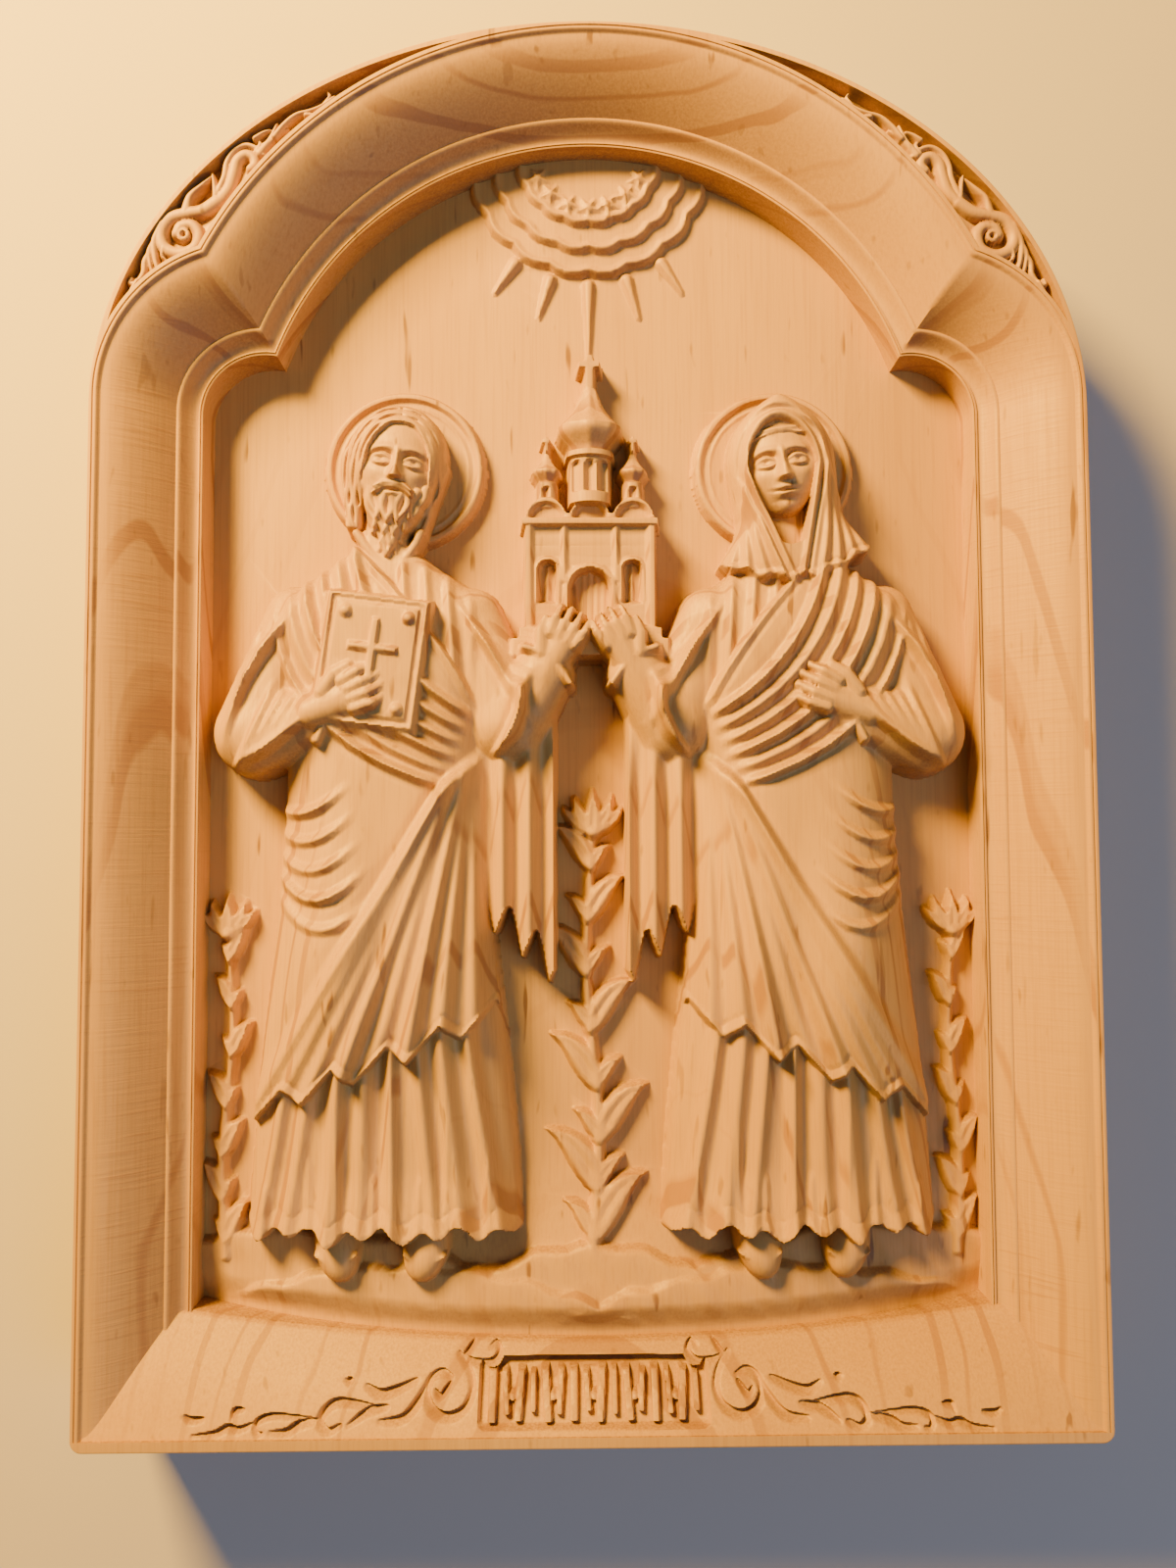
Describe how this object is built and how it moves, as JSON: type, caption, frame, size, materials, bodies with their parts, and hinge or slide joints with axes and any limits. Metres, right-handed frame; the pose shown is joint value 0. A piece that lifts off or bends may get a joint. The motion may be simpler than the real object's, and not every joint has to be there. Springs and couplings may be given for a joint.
{
  "type": "carved wooden icon",
  "caption": "Arched wooden icon panel carved in relief with robed saints holding up a church, in a moulded frame with a sloping sill.",
  "frame": {"origin": "middle of the flat back, under the centre of the panel's outline", "axes": "+Z out of the carved face, +Y to the top of the arch, +X to the right of someone who looks at the face"},
  "size_m": [0.21, 0.297, 0.03],
  "materials": {
    "wood": "light pinkish hardwood, machine carved and sanded, bare with a low satin sheen"
  },
  "bodies": {
    "root": {"carved_icon": "wood"}
  },
  "joints": []
}
